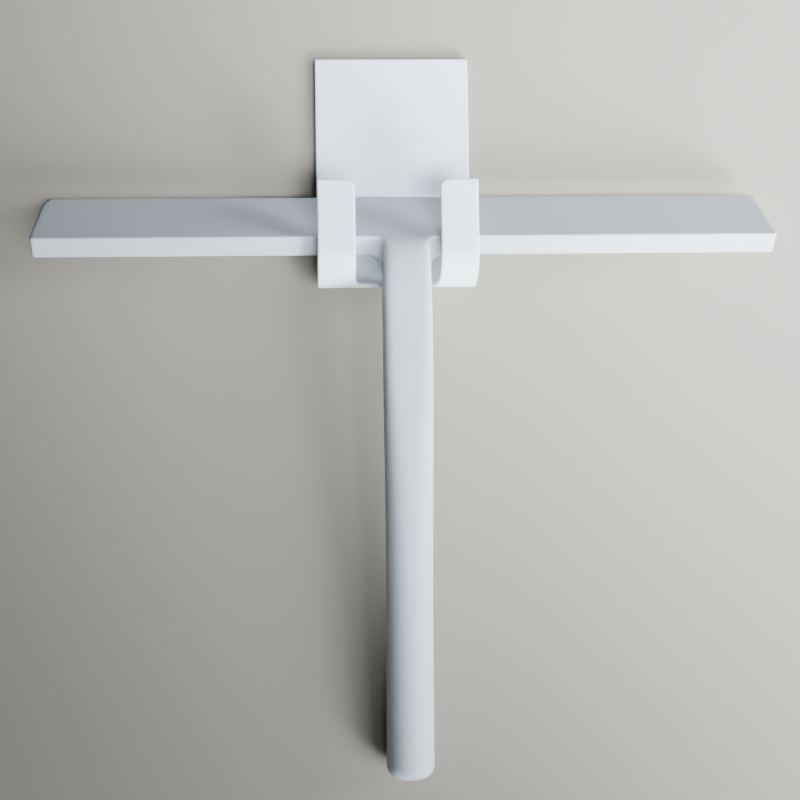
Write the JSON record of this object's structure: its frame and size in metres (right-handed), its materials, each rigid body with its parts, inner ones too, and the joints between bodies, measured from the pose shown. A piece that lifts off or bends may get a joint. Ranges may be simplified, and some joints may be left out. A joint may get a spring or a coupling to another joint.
{
  "type": "window squeegee with wall holder",
  "caption": "T-shaped silicone window squeegee with a rigid core and a thin flexible wiping blade, resting in a slotted J-shaped adhesive wall holder.",
  "frame": {"origin": "centre of the adhesive pad's outer face, which lies on the wall or on the surface under the holder", "axes": "+Z away from that face, +Y up the back plate from the hook to its top edge, +X along the squeegee's head"},
  "size_m": [0.313, 0.31, 0.032],
  "materials": {
    "white_plastic": "fine satin moulding",
    "adhesive_foam": "matte closed-cell foam with tacky faces",
    "white_silicone": "matte, slightly translucent silicone",
    "core_plastic": "plain moulded"
  },
  "bodies": {
    "holder": {"holder_bracket": "white_plastic", "adhesive_pad": "adhesive_foam"},
    "squeegee": {"silicone_cover": "white_silicone", "stiffening_core": "core_plastic"},
    "blade": {"wiper_blade": "white_silicone"}
  },
  "joints": [
    {"name": "squeegee_lift", "type": "slide", "parent": "holder", "child": "squeegee", "axis": [0, 1, 0], "range_m": [-0.007, 0.04]},
    {"name": "blade_flex", "type": "hinge", "parent": "squeegee", "child": "blade", "pos_m": [0.0035, -0.0263, 0.0112], "axis": [1, 0, 0], "range_deg": [0, 30], "stiffness_Nm_per_rad": 0.13}
  ]
}
